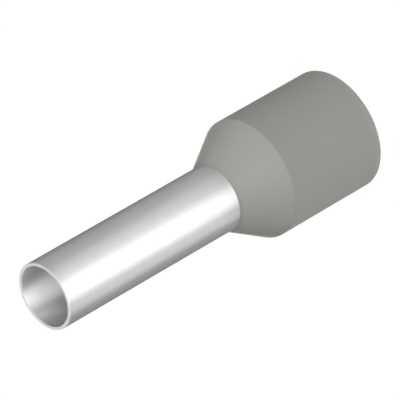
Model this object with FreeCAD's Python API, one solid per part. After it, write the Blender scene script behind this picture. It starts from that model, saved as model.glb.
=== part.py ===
import FreeCAD, Part

import math
import os

# An insulated end sleeve for one stranded conductor, also called a wire ferrule.
# It has two pieces: a drawn metal sleeve whose lower end is flared, and a moulded
# collar that grips the sleeve with its throat and takes the wire's insulation.
#
# Both are round about the Z axis. The collar's mouth lies at z = 0, where the part
# stands, and the sleeve's tip is the highest point. All lengths are in millimetres.

# Lengths along the axis
barrel_length = 10.1  # bare sleeve beyond the collar
taper_length = 2.05  # cone of the collar, from its shoulder to its neck
skirt_length = 5.35  # straight part of the collar, from its mouth to its shoulder

# Diameters of the holes, and the walls around them
barrel_bore = 2.8  # hole for the bare conductor
barrel_wall = 0.15  # sheet thickness of the drawn sleeve
skirt_bore = 4.8  # hole for the wire's insulation
skirt_wall = 0.4  # thickness of the moulded wall, in the skirt and in the cone

# How the sleeve sits in the collar
seat_clearance = 0.01  # gap between the sleeve and the collar all along their seat
neck_lip = 0.03  # width of the collar's end face around the sleeve
flare_bend = 1.4  # radius at which the sleeve's outer face turns outward
flare_inset = 0.2  # how far the flare's rim stays inside the skirt's bore, on the radius

# Rounded edges
tip_edge = 0.03
rim_edge = 0.04
neck_edge = 0.02  # outer edge of the collar's end face; its inner edge is sharp on the sleeve
shoulder_edge = 0.12
mouth_outer_edge = 0.08
mouth_inner_edge = 0.1
skirt_corner = 0.2  # hollow corner where the skirt's bore runs into the cone

EDGE_SHARE = 0.4  # most of a wall's thickness that one rounded edge may take

# Places that follow from the sizes above
overall_length = skirt_length + taper_length + barrel_length
neck_height = skirt_length + taper_length
bore_radius = barrel_bore / 2
barrel_radius = bore_radius + barrel_wall
throat_radius = barrel_radius + seat_clearance
neck_radius = throat_radius + neck_lip
skirt_bore_radius = skirt_bore / 2
skirt_radius = skirt_bore_radius + skirt_wall
rim_radius = skirt_bore_radius - flare_inset
cone_angle = math.atan((skirt_radius - neck_radius) / taper_length)


def cone_height(radius, depth):
    """Height at which a cone that lies depth under the collar's outer cone has this radius."""
    run = (skirt_radius - radius) / math.tan(cone_angle)
    return skirt_length + run - depth / math.sin(cone_angle)


def edge_in(rounding, wall):
    """The rounding of an edge, limited by the wall that carries it."""
    return min(rounding, EDGE_SHARE * wall)


def point(radius, height):
    """A point of the half section, which lies in the XZ plane."""
    return FreeCAD.Vector(radius, 0, height)


def corner_arc(before, corner, after, rounding):
    """The arc that rounds one corner. It touches both of the corner's sides."""
    to_before = (before - corner).normalize()
    to_after = (after - corner).normalize()
    half_angle = to_before.getAngle(to_after) / 2
    reach = rounding / math.tan(half_angle)
    inward = (to_before + to_after).normalize()
    middle = corner + inward * (rounding / math.sin(half_angle) - rounding)
    return Part.Arc(corner + to_before * reach, middle, corner + to_after * reach)


def turned_solid(outline):
    """Turn a closed half section about the Z axis.

    Each row is (radius, height, rounding). A rounding of 0 leaves the corner sharp.
    """
    corners = [point(radius, height) for radius, height, rounding in outline]
    arcs = []
    ends = []
    for i, (radius, height, rounding) in enumerate(outline):
        if rounding == 0:
            arcs.append(None)
            ends.append((corners[i], corners[i]))
            continue
        arc = corner_arc(corners[i - 1], corners[i], corners[(i + 1) % len(corners)], rounding)
        arcs.append(arc)
        ends.append((arc.StartPoint, arc.EndPoint))
    edges = []
    for i, arc in enumerate(arcs):
        edges.append(Part.LineSegment(ends[i - 1][1], ends[i][0]).toShape())
        if arc:
            edges.append(arc.toShape())
    section = Part.Face(Part.Wire(edges))
    return section.revolve(FreeCAD.Vector(0, 0, 0), FreeCAD.Vector(0, 0, 1), 360)


def contact_sleeve():
    """The metal sleeve: a straight tube whose lower end opens into a flare of the same wall.

    The flare lies against the collar's inner cone, so that the strands of a stripped
    wire are led into the tube and the sleeve can't be pulled out through the neck.
    """
    flare_outside = skirt_wall + seat_clearance
    flare_inside = flare_outside + barrel_wall
    inner_rim_radius = rim_radius - barrel_wall * math.cos(cone_angle)
    tip = edge_in(tip_edge, barrel_wall)
    rim = edge_in(rim_edge, barrel_wall)
    return turned_solid([
        (bore_radius, overall_length, tip),
        (barrel_radius, overall_length, tip),
        (barrel_radius, cone_height(barrel_radius, flare_outside), flare_bend),
        (rim_radius, cone_height(rim_radius, flare_outside), rim),
        (inner_rim_radius, cone_height(inner_rim_radius, flare_inside), rim),
        (bore_radius, cone_height(bore_radius, flare_inside), flare_bend + barrel_wall),
    ])


def insulating_collar():
    """The moulded collar: a straight skirt, a cone of the same wall and a short throat."""
    mouth_outer = edge_in(mouth_outer_edge, skirt_wall)
    mouth_inner = edge_in(mouth_inner_edge, skirt_wall)
    return turned_solid([
        (skirt_radius, 0, mouth_outer),
        (skirt_radius, skirt_length, edge_in(shoulder_edge, skirt_wall)),
        (neck_radius, neck_height, edge_in(neck_edge, neck_lip)),
        (throat_radius, neck_height, 0),
        (throat_radius, cone_height(throat_radius, skirt_wall), flare_bend - seat_clearance),
        (skirt_bore_radius, cone_height(skirt_bore_radius, skirt_wall), skirt_corner),
        (skirt_bore_radius, 0, mouth_inner),
    ])


parts = {
    "contact_sleeve": contact_sleeve(),
    "insulating_collar": insulating_collar(),
}

os.makedirs("parts", exist_ok=True)
for name, shape in parts.items():
    shape.exportStep(f"parts/{name}.step")
    box = shape.optimalBoundingBox()
    print(f"{name}: {shape.Volume:.3f} mm3, {box.XLength:.3f} mm across,")
    print(f"    from {box.ZMin:.3f} to {box.ZMax:.3f} mm high")
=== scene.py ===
# %% [markdown]
# # An insulated end sleeve for a stranded wire
#
# The part is a wire ferrule, 17.5 mm long. A drawn tube of tin-plated copper takes the
# bare strands, and a moulded grey collar grips the tube and takes the wire's
# insulation. Both are round about one upright axis, and the part stands on its collar.
#
# This notebook dresses the finished construction for pictures. The construction sets
# the sizes. Only two fine forms differ here: the edges of the tip are crisper, and the
# collar's cone runs out on the tube in a thin edge. Each step first says what the piece
# or the finish is on the real object, and then makes it.

# %% Tools and the fixed frame
import math

import bpy
import numpy as np
from mathutils import Matrix, Vector


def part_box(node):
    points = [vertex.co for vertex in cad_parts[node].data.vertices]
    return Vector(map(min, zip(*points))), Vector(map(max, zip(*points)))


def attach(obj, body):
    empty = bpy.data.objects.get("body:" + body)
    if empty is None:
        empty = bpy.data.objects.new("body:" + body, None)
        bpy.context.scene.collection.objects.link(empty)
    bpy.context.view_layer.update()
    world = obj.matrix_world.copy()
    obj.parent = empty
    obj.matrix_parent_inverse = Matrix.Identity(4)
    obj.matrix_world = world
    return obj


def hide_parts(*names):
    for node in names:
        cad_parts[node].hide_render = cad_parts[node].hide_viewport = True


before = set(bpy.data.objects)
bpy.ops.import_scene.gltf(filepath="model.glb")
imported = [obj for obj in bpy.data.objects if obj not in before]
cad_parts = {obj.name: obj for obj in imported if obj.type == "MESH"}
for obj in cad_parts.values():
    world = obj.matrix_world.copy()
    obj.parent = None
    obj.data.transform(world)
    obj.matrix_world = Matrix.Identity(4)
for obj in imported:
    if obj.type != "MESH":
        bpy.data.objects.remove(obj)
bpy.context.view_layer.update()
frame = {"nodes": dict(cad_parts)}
print("pieces in the construction:", ", ".join(frame["nodes"]))

# %% [markdown]
# ## Sizes
#
# A ferrule is bought by the cross-section of its wire, and this one is made for 4 mm2.
# That fixes the bore of the tube, the bore of the collar and the length of bare tube.
# The construction was drawn from the same values in millimetres. Blender works in
# metres, so each value is written as so many mm, and mm is one thousandth.

# %% Sizes of the ferrule, in metres
mm = 0.001

barrel_length = 10.1 * mm  # bare tube beyond the collar
taper_length = 2.05 * mm  # cone of the collar
skirt_length = 5.35 * mm  # straight part of the collar
barrel_bore = 2.8 * mm
barrel_wall = 0.15 * mm
skirt_bore = 4.8 * mm
skirt_wall = 0.4 * mm
seat_clearance = 0.01 * mm  # between the tube and the collar that grips it
neck_lip = 0.03 * mm  # width of the collar's end face in the construction
flare_bend = 1.4 * mm  # radius at which the tube's end turns outward
flare_inset = 0.2 * mm  # how far the flare's rim stays inside the skirt's bore

# Rounded edges. Those of the tip are finer than the construction's 0.03 mm, because the
# rim of the tube is crisp in the picture. The construction has no edge like the lip's.
tip_inner_edge = 0.01 * mm
tip_outer_edge = 0.02 * mm
rim_edge = 0.04 * mm
lip_edge = 0.003 * mm
shoulder_edge = 0.12 * mm
mouth_outer_edge = 0.08 * mm
mouth_inner_edge = 0.1 * mm
skirt_corner = 0.2 * mm

overall_length = skirt_length + taper_length + barrel_length
bore_radius = barrel_bore / 2
barrel_radius = bore_radius + barrel_wall
throat_radius = barrel_radius + seat_clearance
neck_radius = throat_radius + neck_lip
skirt_bore_radius = skirt_bore / 2
skirt_radius = skirt_bore_radius + skirt_wall
rim_radius = skirt_bore_radius - flare_inset
cone_angle = math.atan((skirt_radius - neck_radius) / taper_length)


def cone_height(radius, depth):
    """Height at which a cone lying depth under the collar's outer cone has this radius."""
    run = (skirt_radius - radius) / math.tan(cone_angle)
    return skirt_length + run - depth / math.sin(cone_angle)


print("overall length in mm:", round(overall_length / mm, 3))
print("slope of the cone in degrees:", round(math.degrees(cone_angle), 2))

# %% [markdown]
# ## From a half section to a turned surface
#
# Both pieces are bodies of revolution. A maker would turn them on a lathe or draw and
# mould them, and in Blender they could be a Spin or a Screw of a profile. Spin leaves
# doubled points on the seam, and it shades long straight walls and tiny rounded edges
# alike. Here the surface is worked out instead: a closed half section is carried once
# round the axis, so it has no seam, no pole and no open edge.
#
# The half section is a list of corners, each with the radius of its rounding. Every
# rounding is an arc that touches both of its sides, so the surface turns smoothly. The
# normals are worked out from the outline too, which keeps the straight walls straight
# in the light, right up to the start of each arc.
#
# The surface also gets a flat layout, in which the way round the axis is always to the
# right. The finishes here don't read it. Where they are baked to pictures for other
# programs, it keeps the direction of the metal's rings.

# %% Points along a rounded half section
straight_step = 0.3 * mm  # longest step along a straight side
arc_step = math.radians(7.5)  # most that the outline turns in one step


def side_points(start, end):
    """Even points from start to just before end: start + t * (end - start)."""
    count = max(1, math.ceil(np.linalg.norm(end - start) / straight_step))
    t = np.arange(count)[:, None] / count
    return start + t * (end - start)


def arc_points(before, corner, after, rounding):
    """The points on the arc of one rounded corner, both of its ends included.

    The centre lies on the corner's bisector, rounding / sin(half the corner's angle)
    away. A point is the centre plus rounding times a unit vector that swings from the
    foot on the first side to the foot on the second one.
    """
    to_before = (before - corner) / np.linalg.norm(before - corner)
    to_after = (after - corner) / np.linalg.norm(after - corner)
    half = math.acos(float(to_before @ to_after)) / 2
    bisector = (to_before + to_after) / np.linalg.norm(to_before + to_after)
    centre = corner + bisector * (rounding / math.sin(half))
    first = (corner + to_before * (rounding / math.tan(half)) - centre) / rounding
    last = (corner + to_after * (rounding / math.tan(half)) - centre) / rounding
    swing = math.atan2(first[0] * last[1] - first[1] * last[0], float(first @ last))
    count = max(3, math.ceil(abs(swing) / arc_step))
    angles = np.linspace(0, swing, count + 1)
    unit = np.stack([
        first[0] * np.cos(angles) - first[1] * np.sin(angles),
        first[0] * np.sin(angles) + first[1] * np.cos(angles),
    ], axis=1)
    return centre + rounding * unit


# %% The whole outline, with its normals and its edges
def half_section(corners):
    """A closed outline from rows of (radius, height, rounding, wear), walked clockwise.

    Returns points, unit normals pointing out of the material, and wear, which is 0 on
    the walls and the row's own value on its rounding. The normal is the walking
    direction, averaged over both neighbours and turned a quarter to the left. The
    shorter neighbour counts for more, so that a long wall doesn't bend the arc's first
    normal.
    """
    places = np.array([row[:2] for row in corners])
    runs, marks = [], []
    arcs = [
        arc_points(places[i - 1], places[i], places[(i + 1) % len(corners)], row[2])
        for i, row in enumerate(corners)
    ]
    for i, arc in enumerate(arcs):
        side = side_points(arcs[i - 1][-1], arc[0])[1:]
        runs += [side, arc]
        marks += [np.zeros(len(side)), np.full(len(arc), corners[i][3])]
    points = np.concatenate(runs)
    wear = np.concatenate(marks)
    ahead = np.roll(points, -1, axis=0) - points
    step = np.linalg.norm(ahead, axis=1, keepdims=True)
    heading = ahead / step
    behind, behind_step = np.roll(heading, 1, axis=0), np.roll(step, 1, axis=0)
    along = heading * behind_step + behind * step
    along /= np.linalg.norm(along, axis=1, keepdims=True)
    normals = np.stack([-along[:, 1], along[:, 0]], axis=1)
    return points, normals, wear


# %% Laying the turned surface out flat
turns = 224  # steps once round the axis
map_margin = 0.02  # share of the map left free beside each strip


def lay_flat(mesh, points):
    """A texture map of the surface: the angle runs to the right, the outline downward.

    A long thin piece would waste a square map, so its outline is cut into equal
    strips that lie side by side, sqrt(length of the outline / mean circumference) of
    them. At a length s along an outline of length L, the strip is
    floor(strips * s / L) and the place down the strip is the rest of that division.
    """
    step = np.linalg.norm(np.roll(points, -1, axis=0) - points, axis=1)
    ends = np.concatenate([[0], np.cumsum(step)])
    strips = max(1, round(math.sqrt(ends[-1] / (2 * math.pi * points[:, 0].mean()))))
    ends *= strips / ends[-1]
    strip = np.floor((ends[1:] + ends[:-1]) / 2)
    top, bottom = ends[:-1] - strip, ends[1:] - strip
    left = np.arange(turns) / turns
    right = left + 1 / turns
    used = 1 - 2 * map_margin
    across = map_margin + used * np.stack([left, left, right, right], axis=1)[None]
    down = map_margin + used * np.stack([top, bottom, bottom, top], axis=1)[:, None]
    across, down = np.broadcast_arrays((strip[:, None, None] + across) / strips, 1 - down)
    layout = mesh.uv_layers.new(name="OFBake")
    layout.uv.foreach_set("vector", np.stack([across, down], axis=3).astype(np.float32).ravel())
    return strips


# %% Turning the outline into a mesh
def turned_surface(name, corners):
    """A closed surface of revolution.

    Point (i, j) is outline point i turned by angle j: x = radius * cos(angle),
    y = radius * sin(angle), z = height. The normals turn with it. Both directions
    close on themselves, so each point joins four faces.
    """
    points, normals, wear = half_section(corners)
    angles = np.arange(turns) * (2 * math.pi / turns)
    cosine, sine = np.cos(angles)[None, :], np.sin(angles)[None, :]
    flat = np.ones_like(cosine)

    def turned(pair):
        """Carry (radius, height) pairs round the axis, as rows of x, y, z."""
        radius, height = pair[:, :1], pair[:, 1:]
        return np.stack([radius * cosine, radius * sine, height * flat], axis=2).reshape(-1, 3)

    count = len(points)
    index = np.arange(count * turns).reshape(count, turns)
    below, beside = np.roll(index, -1, axis=0), np.roll(index, -1, axis=1)
    opposite = np.roll(below, -1, axis=1)
    faces = np.stack([index, below, opposite, beside], axis=2).reshape(-1, 4)

    mesh = bpy.data.meshes.new(name)
    mesh.from_pydata(turned(points), [], faces)
    mesh.polygons.foreach_set("use_smooth", np.ones(len(faces), dtype=bool))
    worn = mesh.attributes.new("wear", "FLOAT", "POINT")
    worn.data.foreach_set("value", np.repeat(wear, turns).astype(np.float32))
    strips = lay_flat(mesh, points)
    mesh.normals_split_custom_set_from_vertices(turned(normals))
    mesh.update()
    piece = bpy.data.objects.new(name, mesh)
    bpy.context.collection.objects.link(piece)
    print(f"{name}: {len(mesh.vertices)} points, {2 * len(faces)} triangles, {strips} strips")
    return piece


# %% [markdown]
# ## The tube
#
# The metal sleeve is drawn from thin copper strip, cut square and tin-plated. Its tip
# is open, with a wall of only 0.15 mm. The other end is hidden in the collar, where a
# punch has opened it into a flare. The flare leads the strands in and keeps the tube
# from being pulled out through the neck.
#
# Each row below is a corner of the half section: radius, height, rounding, and how
# worn the rounding is, from 0 to 1.

# %% Make the tube
flare_outside = skirt_wall + seat_clearance
flare_inside = flare_outside + barrel_wall
inner_rim_radius = rim_radius - barrel_wall * math.cos(cone_angle)
sleeve_corners = [
    (bore_radius, overall_length, tip_inner_edge, 0.2),
    (barrel_radius, overall_length, tip_outer_edge, 0.6),
    (barrel_radius, cone_height(barrel_radius, flare_outside), flare_bend, 0),
    (rim_radius, cone_height(rim_radius, flare_outside), rim_edge, 0),
    (inner_rim_radius, cone_height(inner_rim_radius, flare_inside), rim_edge, 0),
    (bore_radius, cone_height(bore_radius, flare_inside), flare_bend + barrel_wall, 0),
]
tube = turned_surface("drawn_tube", sleeve_corners)

# %% [markdown]
# ## The collar
#
# The collar is one injection moulding in a tough, slightly waxy plastic. Its skirt is
# as wide as the wire's insulation needs, and its cone brings the wall down to the
# tube. The tool leaves small rounded edges at the mouth and at the shoulder. Inside,
# the cone is a funnel that the tube's flare lies in.
#
# The neck is springy and closes on the tube, so that no gap shows, and the cone runs
# out on the tube in a thin edge. The construction ends the neck in a narrow flat face
# instead, about 0.06 mm lower.

# %% Make the collar
lip_gap = 0.001 * mm  # what is left between the neck and the tube
lip_radius = barrel_radius + lip_gap
lip_height = cone_height(lip_radius, 0)
throat_bend = flare_bend - seat_clearance
collar_corners = [
    (skirt_radius, 0, mouth_outer_edge, 1),
    (skirt_bore_radius, 0, mouth_inner_edge, 0.5),
    (skirt_bore_radius, cone_height(skirt_bore_radius, skirt_wall), skirt_corner, 0),
    (throat_radius, cone_height(throat_radius, skirt_wall), throat_bend, 0),
    (lip_radius, lip_height, lip_edge, 0),
    (skirt_radius, skirt_length, shoulder_edge, 0.2),
]
collar = turned_surface("moulded_collar", collar_corners)

# %% Hang the two surfaces on the root, hide the construction's pieces that they replace, and compare their boxes
for piece, node, slot_name in (
    (tube, "contact_sleeve", "tinned_copper"),
    (collar, "insulating_collar", "collar_plastic"),
):
    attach(piece, "root")
    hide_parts(node)
    low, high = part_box(node)
    made = np.array([v.co for v in piece.data.vertices])
    off = np.abs(np.concatenate([made.min(0) - low, made.max(0) - high])).max()
    print(f"{piece.name}: its box is within {off / mm:.4f} mm of the construction's")

# %% [markdown]
# ## Camera
#
# The picture to match looks down on the part at about 35 degrees through a long lens,
# and is rolled so that the axis falls to the lower left. The camera was fitted to the
# outline: how many pixels a millimetre takes at the tip, how far away the tip is,
# where it lies in the picture, and how steeply the axis runs across it.

# %% Place the camera
picture_size = 400  # pixels
pixels_per_mm = 23.96  # at the tip
tip_distance = 214.05 * mm  # measured along the line of sight
tip_pixel = (44.52, 296.64)  # from the picture's upper left corner
looking_down = math.radians(35.191)
axis_slope = math.radians(29.932)

sight = Vector((0, math.cos(looking_down), -math.sin(looking_down)))
level_right = Vector((1, 0, 0))
level_up = Vector((0, math.sin(looking_down), math.cos(looking_down)))
roll = math.atan2(-math.cos(axis_slope), -math.sin(axis_slope))
right = math.cos(roll) * level_right + math.sin(roll) * level_up
up = -math.sin(roll) * level_right + math.cos(roll) * level_up
across = (tip_pixel[0] - picture_size / 2) / pixels_per_mm * mm
down = (tip_pixel[1] - picture_size / 2) / pixels_per_mm * mm
tip = Vector((0, 0, overall_length))
eye = tip - (across * right - down * up + tip_distance * sight)

lens = bpy.data.cameras.new("long_lens")
lens.sensor_width = 36
lens.lens = pixels_per_mm * tip_distance / mm / picture_size * lens.sensor_width
lens.clip_start = 0.005
lens.clip_end = 20
camera = bpy.data.objects.new("long_lens", lens)
bpy.context.collection.objects.link(camera)
turn = Matrix((right, up, -sight)).transposed().to_4x4()
camera.matrix_world = Matrix.Translation(eye) @ turn
bpy.context.scene.camera = camera
print("focal length in mm:", round(lens.lens, 1))

# %% [markdown]
# ## Helpers for finishes
#
# A finish is a small network of nodes. The helper below adds one node, sets its
# plain values and names it, so that each effect reads as a short list. Effects that
# both the metal and the plastic use are node groups with named sockets. They are built
# once and placed in each material with its own values.

# %% Small helpers for node networks
def add_node(tree, kind, label="", values=(), **settings):
    """One node of this kind. values maps an input's name or number to what goes in.

    That is either a plain value or another node's output, which is then linked.
    """
    node = tree.nodes.new(kind)
    node.label = label
    for key, value in settings.items():
        setattr(node, key, value)
    for key, value in dict(values).items():
        if isinstance(value, bpy.types.NodeSocket):
            tree.links.new(value, node.inputs[key])
        else:
            node.inputs[key].default_value = value
    return node


def maths(tree, operation, label, *numbers):
    """The output of one Math node. Each number is a plain value or an output."""
    values = dict(enumerate(numbers))
    return add_node(tree, "ShaderNodeMath", label, values, operation=operation).outputs[0]


def mixed(tree, label, share, first, second):
    """The output of a colour mix: first where share is 0, second where it is 1."""
    values = {0: share, 6: first, 7: second}  # the numbers of its colour inputs
    return add_node(tree, "ShaderNodeMix", label, values, data_type="RGBA").outputs[2]


def new_group(name, inputs, outputs):
    """An empty node group with float or vector sockets, and its two end nodes."""
    tree = bpy.data.node_groups.new(name, "ShaderNodeTree")
    for label, kind, value in inputs:
        socket = tree.interface.new_socket(label, in_out="INPUT", socket_type=kind)
        if value is not None:
            socket.default_value = value
    for label, kind in outputs:
        tree.interface.new_socket(label, in_out="OUTPUT", socket_type=kind)
    return tree, tree.nodes.new("NodeGroupInput"), tree.nodes.new("NodeGroupOutput")


def place_group(tree, group, place, values):
    """The group as a node in a material, at these coordinates and with these values."""
    values = {"Place": place, **values}
    return add_node(tree, "ShaderNodeGroup", group.name, values, node_tree=group)


# %% [markdown]
# ### Grain
#
# Rolled and drawn metal has fine lines, and a mould that was eroded to a satin face
# leaves a fine even grain. Both are noise that is stretched by a different amount
# across the part and along its axis. The noise could be painted on an unwrapped
# surface, but it would show a seam. Read from the object's own coordinates it has none.

# %% Group: grain
grain, given, made = new_group(
    "grain",
    [("Place", "NodeSocketVector", None), ("Lines per mm across", "NodeSocketFloat", 20.0),
     ("Lines per mm along", "NodeSocketFloat", 20.0), ("Contrast", "NodeSocketFloat", 1.0)],
    [("Height", "NodeSocketFloat"), ("Shade", "NodeSocketFloat")],
)
fineness = add_node(grain, "ShaderNodeCombineXYZ", "lines per mm", {
    "X": given.outputs["Lines per mm across"], "Y": given.outputs["Lines per mm across"],
    "Z": given.outputs["Lines per mm along"]})
stretched = add_node(grain, "ShaderNodeVectorMath", "stretched", {
    0: given.outputs["Place"], 1: fineness.outputs[0]}, operation="MULTIPLY")
lines = add_node(grain, "ShaderNodeTexNoise", "lines", {
    "Vector": stretched.outputs[0], "Scale": 1 / mm, "Detail": 3.0, "Roughness": 0.55})
centred = maths(grain, "SUBTRACT", "about zero", lines.outputs["Fac"], 0.5)
shade = maths(grain, "MULTIPLY", "contrast", centred, given.outputs["Contrast"])
grain.links.new(lines.outputs["Fac"], made.inputs["Height"])
grain.links.new(shade, made.inputs["Shade"])
print("group grain:", [i.name for i in grain.interface.items_tree])

# %% [markdown]
# ### Mottling
#
# Nothing plated or moulded is quite even. Tin freezes in soft patches, and plastic
# keeps faint clouds where the melt met. The patches here are a few tenths of a
# millimetre to a few millimetres wide, and only just visible.

# %% Group: mottling
mottling, given, made = new_group(
    "mottling",
    [("Place", "NodeSocketVector", None), ("Patches per mm", "NodeSocketFloat", 1.0),
     ("Contrast", "NodeSocketFloat", 1.0), ("Middle", "NodeSocketFloat", 0.0)],
    [("Value", "NodeSocketFloat")],
)
spread = add_node(mottling, "ShaderNodeVectorMath", "spread", {
    0: given.outputs["Place"], "Scale": given.outputs["Patches per mm"]}, operation="SCALE")
clouds = add_node(mottling, "ShaderNodeTexNoise", "clouds", {
    "Vector": spread.outputs[0], "Scale": 1 / mm, "Detail": 2.0, "Roughness": 0.5,
    "Distortion": 0.6})
centred = maths(mottling, "SUBTRACT", "about zero", clouds.outputs["Fac"], 0.5)
value = maths(
    mottling, "MULTIPLY_ADD", "contrast about the middle",
    centred, given.outputs["Contrast"], given.outputs["Middle"])
mottling.links.new(value, made.inputs["Value"])
print("group mottling:", [i.name for i in mottling.interface.items_tree])

# %% [markdown]
# ### Rubbed edges
#
# Ferrules lie loose in a bag and rub each other, so the tip and the mouth are a little
# brighter and smoother than the walls. The turned surface carries how worn each of its
# rounded edges is as an attribute. Noise breaks it up, so the rub isn't a drawn ring.

# %% Group: rubbed edges
rubbed, given, made = new_group(
    "rubbed_edges",
    [("Place", "NodeSocketVector", None), ("Wear", "NodeSocketFloat", 0.0),
     ("Amount", "NodeSocketFloat", 0.5)],
    [("Mask", "NodeSocketFloat")],
)
breaks = add_node(rubbed, "ShaderNodeTexNoise", "breaks", {
    "Vector": given.outputs["Place"], "Scale": 2.6 / mm, "Detail": 2.0})
worn = add_node(rubbed, "ShaderNodeMapRange", "worn places", {
    "Value": breaks.outputs["Fac"], "From Min": 0.35, "From Max": 0.65,
    "To Min": 0.25, "To Max": 1.0})
on_edge = maths(rubbed, "MULTIPLY", "on edges only", worn.outputs[0], given.outputs["Wear"])
mask = maths(rubbed, "MULTIPLY", "amount", on_edge, given.outputs["Amount"])
rubbed.links.new(mask, made.inputs["Mask"])
print("group rubbed_edges:", [i.name for i in rubbed.interface.items_tree])

# %% [markdown]
# ## Two finishes from one recipe
#
# Both finishes are built in the same way: a base colour that mottling and grain shade
# a little, a roughness that they vary, a bump from the grain, and rubbed edges that are
# brighter and smoother. What differs are the values.

# %% The recipe
gloss_patches = 1.7  # patches of gloss to one patch of shade, so that the two don't match


def finish(
    name, colour, rubbed_colour, roughness,
    lines_across, lines_along, line_shade, line_gloss, relief_strength, relief_depth,
    patches, patch_shade, patch_gloss, rub, rub_gloss,
):
    """A material of the shared groups, with its coordinates and its last colour.

    Lines and patches are counted per mm. Each shade is a share of the colour, and each
    gloss is a change of the roughness.
    """
    material = bpy.data.materials.new(name)
    material.use_nodes = True
    tree = material.node_tree
    shader = tree.nodes["Principled BSDF"]
    place = add_node(tree, "ShaderNodeTexCoord", "own coordinates").outputs["Object"]
    wear = add_node(tree, "ShaderNodeAttribute", "rounded edges", attribute_name="wear")

    lines = place_group(tree, grain, place, {
        "Lines per mm across": lines_across, "Lines per mm along": lines_along,
        "Contrast": line_shade})
    clouds = place_group(tree, mottling, place, {
        "Patches per mm": patches, "Contrast": patch_shade, "Middle": 1.0})
    gloss = place_group(tree, mottling, place, {
        "Patches per mm": patches * gloss_patches, "Contrast": patch_gloss,
        "Middle": roughness})
    rubbing = place_group(tree, rubbed, place, {"Wear": wear.outputs["Fac"], "Amount": rub})

    brightness = maths(
        tree, "ADD", "clouds and lines", clouds.outputs["Value"], lines.outputs["Shade"])
    shaded = add_node(tree, "ShaderNodeVectorMath", "shaded colour", {
        0: colour, "Scale": brightness}, operation="SCALE")
    base = mixed(
        tree, "rubbed colour", rubbing.outputs["Mask"], shaded.outputs[0], (*rubbed_colour, 1))

    lined = maths(
        tree, "MULTIPLY_ADD", "lines in the gloss",
        lines.outputs["Shade"], line_gloss, gloss.outputs["Value"])
    rough = maths(
        tree, "MULTIPLY_ADD", "rub polishes", rubbing.outputs["Mask"], rub_gloss, lined)
    relief = add_node(tree, "ShaderNodeBump", "relief", {
        "Strength": relief_strength, "Distance": relief_depth,
        "Height": lines.outputs["Height"]})

    tree.links.new(base, shader.inputs["Base Color"])
    tree.links.new(rough, shader.inputs["Roughness"])
    tree.links.new(relief.outputs["Normal"], shader.inputs["Normal"])
    return material, place, base


# %% [markdown]
# ## Tin plating
#
# The tube is deep-drawn, sheared to length and tumbled, and then plated with matt tin.
# In the picture it carries one long bright stripe, outside and inside. Fine rings round
# the axis would do that, because they spread a highlight up and down the tube but
# hardly round it, and so the finish has such rings. They could all be modelled, but
# they are too fine to see. The shader's anisotropy stands for them, with the direction
# round the axis as its tangent, turned by a quarter.
#
# In the picture the tube is darkest along its outline, where it is seen at a flat
# angle. The shader's tint for flat angles is set dark to match that.

# %% Finish of the tube's wall
tin, *_ = finish(
    "matt_tin_plating", colour=(0.8, 0.8, 0.8), rubbed_colour=(0.88, 0.88, 0.87),
    roughness=0.45, lines_across=0.9, lines_along=26, line_shade=0.10, line_gloss=0.5,
    relief_strength=0.25, relief_depth=0.002 * mm,
    patches=0.9, patch_shade=0.05, patch_gloss=0.06, rub=0.4, rub_gloss=-0.08,
)
tin_shader = tin.node_tree.nodes["Principled BSDF"]
tin_shader.inputs["Metallic"].default_value = 1.0
tin_shader.inputs["Specular Tint"].default_value = (0.1, 0.1, 0.1, 1)
tin_shader.inputs["Anisotropic"].default_value = 0.85
tin_shader.inputs["Anisotropic Rotation"].default_value = 0.25
round_axis = add_node(
    tin.node_tree, "ShaderNodeTangent", "round the axis", direction_type="RADIAL", axis="Z")
tin.node_tree.links.new(round_axis.outputs[0], tin_shader.inputs["Tangent"])
tube.data.materials.append(tin)
print("nodes in the tin finish:", len(tin.node_tree.nodes))

# %% [markdown]
# The tip is sheared, not drawn, so its face has no rings and carries no stripe. It is
# rougher and a little greyer than the wall. It gets a second material from the same
# recipe, without the anisotropy. The faces that take it are picked by their height.

# %% Finish of the sheared tip
sheared_depth = 0.025 * mm  # below the tip
sheared, *_ = finish(
    "sheared_tin", colour=(0.74, 0.74, 0.74), rubbed_colour=(0.82, 0.82, 0.82),
    roughness=0.6, lines_across=14, lines_along=14, line_shade=0.10, line_gloss=0.3,
    relief_strength=0.2, relief_depth=0.002 * mm,
    patches=1.5, patch_shade=0.05, patch_gloss=0.06, rub=0.3, rub_gloss=-0.1,
)
sheared.node_tree.nodes["Principled BSDF"].inputs["Metallic"].default_value = 1.0
tube.data.materials.append(sheared)
face_heights = np.array([face.center.z for face in tube.data.polygons])
at_tip = face_heights > overall_length - sheared_depth
tube.data.polygons.foreach_set("material_index", at_tip.astype(np.int32))
print("faces at the sheared tip:", int(at_tip.sum()))

# %% [markdown]
# ## Moulded plastic
#
# The collar is polypropylene in the grey that stands for this cross-section. The
# mould's face is satin, so the gloss is broad and weak, and the grain is finer than the
# eye resolves at arm's length. The mouth is a touch paler from rubbing, and the
# shoulder hardly.

# %% Finish of the collar
plastic, place, base = finish(
    "satin_polypropylene", colour=(0.300, 0.303, 0.279), rubbed_colour=(0.36, 0.365, 0.345),
    roughness=0.5, lines_across=9, lines_along=7, line_shade=0.05, line_gloss=0.4,
    relief_strength=0.2, relief_depth=0.003 * mm, patches=0.55, patch_shade=0.035,
    patch_gloss=0.08, rub=0.35, rub_gloss=-0.1,
)
plastic.node_tree.nodes["Principled BSDF"].inputs["Specular IOR Level"].default_value = 0.2
collar.data.materials.append(plastic)

# %% [markdown]
# Where the collar meets the tube, shade falls into the seam, and here it is painted into the
# colour. A mask by the distance from the axis slightly darkens the throat and about the
# last two tenths of a millimetre of the cone, as painted shade.

# %% The seam at the neck
seam_width = 0.08 * mm  # on the radius
# painted shade in the seam: how far the colour goes towards the dark colour below
seam_shade_share = 0.15
seam_shade_colour = (0.12, 0.12, 0.11, 1)

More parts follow.
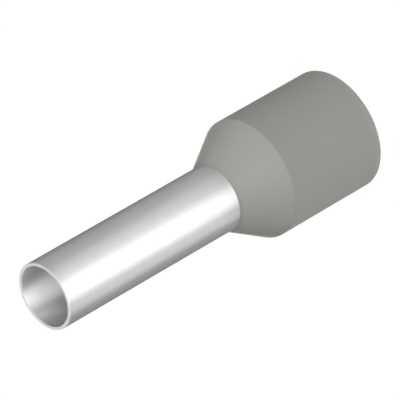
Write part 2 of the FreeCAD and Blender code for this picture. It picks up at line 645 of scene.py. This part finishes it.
tree = plastic.node_tree
sideways = add_node(tree, "ShaderNodeVectorMath", "from the axis", {
    0: place, 1: (1, 1, 0)}, operation="MULTIPLY")
radius = add_node(tree, "ShaderNodeVectorMath", "radius", {
    0: sideways.outputs[0]}, operation="LENGTH").outputs["Value"]
in_seam = add_node(tree, "ShaderNodeMapRange", "in the seam", {
    "Value": radius, "From Min": neck_radius + seam_width, "From Max": neck_radius,
    "To Min": 0.0, "To Max": seam_shade_share}, interpolation_type="SMOOTHSTEP").outputs[0]
# the collar's colour is mixed towards a dark one in the seam, as painted shade
seam_shaded = mixed(tree, "painted shade in the seam", in_seam, base, seam_shade_colour)
tree.links.new(seam_shaded, tree.nodes["Principled BSDF"].inputs["Base Color"])
print("nodes in the plastic finish:", len(tree.nodes))

# %% [markdown]
# ## Floor
#
# The picture has a plain pale ground without a shadow, as on a lit product table. The
# floor here glows a little itself, so the shadow where the collar stands stays faint.
# Only the camera sees it: the light below is part of the studio and shines through, as
# it does on a table of milky glass. From below, the floor is clear, so that the view
# into the collar's mouth stays free.

# %% Make the floor
white = (1, 1, 1, 1)
floor_reach = 0.6  # metres from the part to the edge
floor_mesh = bpy.data.meshes.new("floor")
floor_mesh.from_pydata(
    [(-floor_reach, -floor_reach, 0), (floor_reach, -floor_reach, 0),
     (floor_reach, floor_reach, 0), (-floor_reach, floor_reach, 0)], [], [(0, 1, 2, 3)])
floor = bpy.data.objects.new("floor", floor_mesh)
bpy.context.collection.objects.link(floor)
for unseen in ("visible_diffuse", "visible_glossy", "visible_transmission", "visible_shadow"):
    setattr(floor, unseen, False)

table_top = bpy.data.materials.new("pale_table")
table_top.use_nodes = True
tree = table_top.node_tree
tree.nodes.clear()
matt = add_node(tree, "ShaderNodeBsdfDiffuse", "matt top", {"Color": (0.3, 0.3, 0.3, 1)})
glow = add_node(tree, "ShaderNodeEmission", "milky glow", {"Color": white, "Strength": 0.9})
lit = add_node(tree, "ShaderNodeAddShader", "lit glass", {
    0: matt.outputs[0], 1: glow.outputs[0]})
clear = add_node(tree, "ShaderNodeBsdfTransparent", "clear from below")
side = add_node(tree, "ShaderNodeNewGeometry", "which side")
either = add_node(tree, "ShaderNodeMixShader", "either side", {
    0: side.outputs["Backfacing"], 1: lit.outputs[0], 2: clear.outputs[0]})
add_node(tree, "ShaderNodeOutputMaterial", "table top", {"Surface": either.outputs[0]})
floor_mesh.materials.append(table_top)

# %% [markdown]
# ## Studio light
#
# The part stands on a lit table of milky glass, so the broadest light comes up from
# below. It is a soft glow of the world, whose brightness falls off as
# exp(sharpness * (cosine of the angle from its middle - 1)) and so has no edge. The
# camera itself sees plain white behind everything.

# %% The glow from below, and the white that the camera sees
def direction(azimuth, elevation):
    """The unit vector towards a lamp. Azimuth 0 is -Y, and 90 is +X."""
    a, e = math.radians(azimuth), math.radians(elevation)
    return Vector((math.sin(a) * math.cos(e), -math.cos(a) * math.cos(e), math.sin(e)))


table_glows = [  # azimuth, elevation, strength
    (-10, -80, 5.3),
    (-145, -73, 4.6),
]
glow_sharpness = 9.0

studio = bpy.data.worlds.new("studio")
studio.use_nodes = True
bpy.context.scene.world = studio
tree = studio.node_tree
tree.nodes.clear()
around = add_node(tree, "ShaderNodeTexCoord", "direction").outputs["Generated"]
total = 0.0
for azimuth, elevation, strength in table_glows:
    nearness = add_node(tree, "ShaderNodeVectorMath", "how near its middle", {
        0: around, 1: direction(azimuth, elevation)}, operation="DOT_PRODUCT").outputs["Value"]
    power = maths(
        tree, "MULTIPLY_ADD", "fall-off",
        nearness, glow_sharpness, math.log(strength) - glow_sharpness)
    total = maths(tree, "ADD", "together", maths(tree, "EXPONENT", "brightness", power), total)
from_below = add_node(tree, "ShaderNodeBackground", "milky glass", {
    "Color": white, "Strength": total})
white_behind = add_node(tree, "ShaderNodeBackground", "white behind", {"Color": white})
ray = add_node(tree, "ShaderNodeLightPath", "which ray")
seen = add_node(tree, "ShaderNodeMixShader", "white for the camera", {
    0: ray.outputs["Is Camera Ray"], 1: from_below.outputs[0], 2: white_behind.outputs[0]})
add_node(tree, "ShaderNodeOutputWorld", "studio", {"Surface": seen.outputs[0]})

# %% [markdown]
# The metal needs a strong light from the front for its stripe, and the plastic a
# flatter one. A photographer would hold cards between them. Here each lamp is linked
# to the piece that it is for. A lamp is far away and as wide as a soft box looks from
# the part, so its light has no hard edge.

# %% Lamps for the tube, the collar and the floor
lamps = [  # what for, azimuth, elevation, width in degrees, strength
    (tube, "stripe", -20, 40, 75, 3.7),
    (tube, "stripe_core", -40, 55, 35, 1.2),
    (tube, "right_side", 45, 25, 35, 0.85),
    (tube, "tip_from_behind", 180, 40, 75, 0.95),
    (tube, "left_side", -80, 0, 35, 0.38),
    (tube, "left_edge", -120, 10, 35, 0.32),
    (tube, "low_behind", 105, -30, 75, 0.68),
    (collar, "from_above", -40, 80, 75, 3.2),
    (collar, "high_right", 90, 50, 35, 1.45),
    (collar, "low_front", -5, 10, 35, 1.3),
    (collar, "behind", 180, -15, 35, 1.3),
    (floor, "overhead", 0, 90, 75, 1.2),
]
receivers = {}
for piece in (tube, collar, floor):
    receivers[piece] = bpy.data.collections.new(f"lit_{piece.name}")
    receivers[piece].objects.link(piece)
for piece, purpose, azimuth, elevation, width, strength in lamps:
    name = f"{piece.name}_{purpose}"
    lamp = bpy.data.lights.new(name, "SUN")
    lamp.energy = strength
    lamp.angle = math.radians(width)
    holder = bpy.data.objects.new(name, lamp)
    facing = direction(azimuth, elevation).to_track_quat("Z", "Y")
    holder.matrix_world = facing.to_matrix().to_4x4()
    holder.light_linking.receiver_collection = receivers[piece]
    bpy.context.collection.objects.link(holder)
print("lamps:", len(lamps))

# %% Plain colours, as a camera without a film look would show them
bpy.context.scene.view_settings.view_transform = "Standard"
